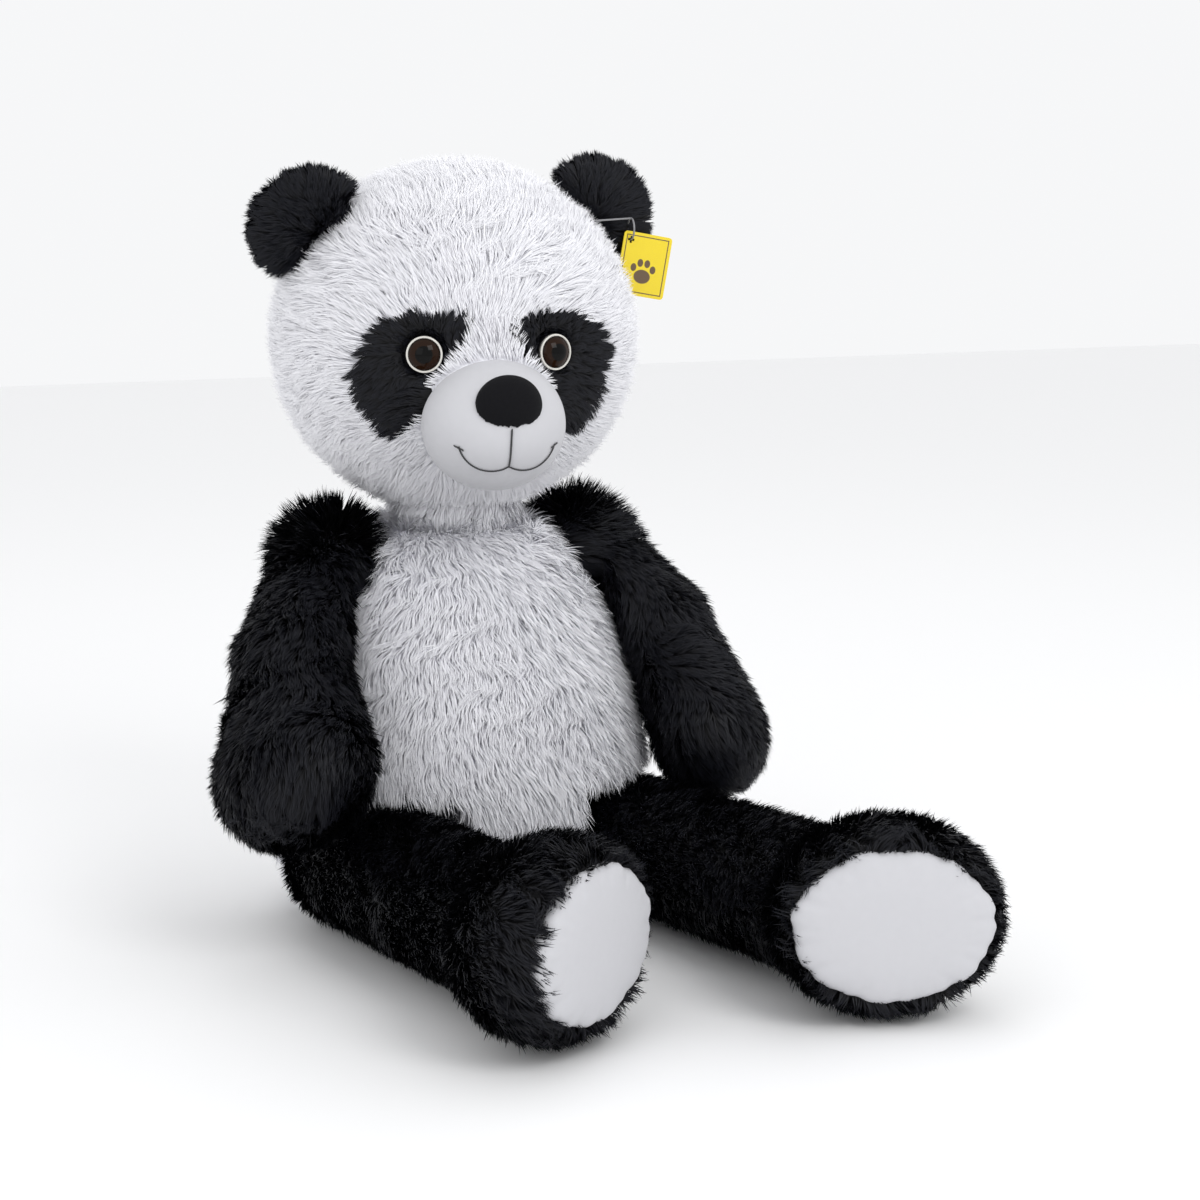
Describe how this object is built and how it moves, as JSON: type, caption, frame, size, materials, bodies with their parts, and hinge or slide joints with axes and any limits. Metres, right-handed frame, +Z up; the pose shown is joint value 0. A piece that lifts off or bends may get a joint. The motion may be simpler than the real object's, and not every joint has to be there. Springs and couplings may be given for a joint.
{
  "type": "plush panda",
  "caption": "Large sitting plush panda: shaggy black and white pile, jointed limbs, head, ears and a plain swing tag.",
  "frame": {"origin": "centre of the flat seat under the torso, on the torso's upright axis", "axes": "+Z up through the head, -Y the way the panda faces, +X to the panda's own left"},
  "size_m": [0.4944, 0.6552, 0.644],
  "materials": {
    "white_plush": "long soft pile",
    "black_plush": "long shaggy pile",
    "white_velboa": "short smooth pile",
    "black_velboa": "short smooth pile",
    "stuffing": "polyester fibre",
    "black_thread": "embroidery thread",
    "white_plastic": "gloss",
    "black_plastic": "moulded",
    "brown_iris": "painted",
    "clear_lens": "clear moulded dome",
    "yellow_card": "coated card",
    "clear_nylon": "nylon thread"
  },
  "bodies": {
    "torso": {"seat_panel": "white_plush", "torso_front_panel": "white_plush", "torso_back_left_panel": "white_plush", "torso_back_right_panel": "white_plush", "torso_stuffing": "stuffing"},
    "neck": {"neck_stuffing": "stuffing"},
    "head": {"face_left_panel": "white_plush", "face_right_panel": "white_plush", "head_back_left_panel": "white_plush", "head_back_right_panel": "white_plush", "head_stuffing": "stuffing", "left_eye_patch": "black_plush", "right_eye_patch": "black_plush", "muzzle_cover": "white_velboa", "muzzle_stuffing": "stuffing", "nose": "black_velboa", "mouth_embroidery": "black_thread", "tag_loop": "clear_nylon", "left_eye_back": "black_plastic", "left_eye_rim": "white_plastic", "left_eye_iris": "brown_iris", "left_eye_lens": "clear_lens", "left_eye_washer": "black_plastic", "right_eye_back": "black_plastic", "right_eye_rim": "white_plastic", "right_eye_iris": "brown_iris", "right_eye_lens": "clear_lens", "right_eye_washer": "black_plastic"},
    "left_ear": {"left_ear_front_panel": "black_plush", "left_ear_back_panel": "black_plush", "left_ear_filling": "stuffing", "left_ear_seam": "black_plush"},
    "right_ear": {"right_ear_front_panel": "black_plush", "right_ear_back_panel": "black_plush", "right_ear_filling": "stuffing", "right_ear_seam": "black_plush"},
    "tag": {"hang_tag": "yellow_card"},
    "left_arm": {"left_arm_outer_panel": "black_plush", "left_arm_inner_panel": "black_plush", "left_arm_stuffing": "stuffing"},
    "left_leg": {"left_leg_upper_panel": "black_plush", "left_leg_lower_panel": "black_plush", "left_leg_stuffing": "stuffing", "left_sole": "white_velboa"},
    "right_arm": {"right_arm_outer_panel": "black_plush", "right_arm_inner_panel": "black_plush", "right_arm_stuffing": "stuffing"},
    "right_leg": {"right_leg_upper_panel": "black_plush", "right_leg_lower_panel": "black_plush", "right_leg_stuffing": "stuffing", "right_sole": "white_velboa"}
  },
  "joints": [
    {"name": "neck_turn", "type": "hinge", "parent": "torso", "child": "neck", "pos_m": [0, 0, 0.345], "axis": [0, 0, 1], "range_deg": [-30, 45]},
    {"name": "neck_nod", "type": "hinge", "parent": "neck", "child": "head", "pos_m": [0, 0, 0.345], "axis": [0.9833, -0.1822, 0], "range_deg": [-12, 14]},
    {"name": "left_shoulder_swing", "type": "hinge", "parent": "torso", "child": "left_arm", "pos_m": [0.118, 0.002, 0.308], "axis": [-0.953, 0.168, -0.2521], "range_deg": [-36, 35]},
    {"name": "right_shoulder_swing", "type": "hinge", "parent": "torso", "child": "right_arm", "pos_m": [-0.118, 0.002, 0.308], "axis": [-0.953, -0.168, 0.2521], "range_deg": [-36, 35]},
    {"name": "left_hip_swing", "type": "hinge", "parent": "torso", "child": "left_leg", "pos_m": [0.118, -0.045, 0.058], "axis": [1, 0, 0], "range_deg": [0, 85]},
    {"name": "right_hip_swing", "type": "hinge", "parent": "torso", "child": "right_leg", "pos_m": [-0.118, -0.045, 0.058], "axis": [1, 0, 0], "range_deg": [0, 85]},
    {"name": "left_ear_fold", "type": "hinge", "parent": "head", "child": "left_ear", "pos_m": [0.11371, -0.02616, 0.5914], "axis": [0.6344, -0.0113, -0.7729], "range_deg": [-18, 9], "stiffness_Nm_per_rad": 0.06},
    {"name": "right_ear_fold", "type": "hinge", "parent": "head", "child": "right_ear", "pos_m": [-0.12317, -0.00875, 0.58383], "axis": [0.5204, -0.4716, 0.7119], "range_deg": [-18, 18], "stiffness_Nm_per_rad": 0.06},
    {"name": "tag_swing", "type": "hinge", "parent": "head", "child": "tag", "pos_m": [0.14435, -0.05523, 0.579], "axis": [-0.1822, -0.9833, 0], "range_deg": [0, 40]}
  ]
}
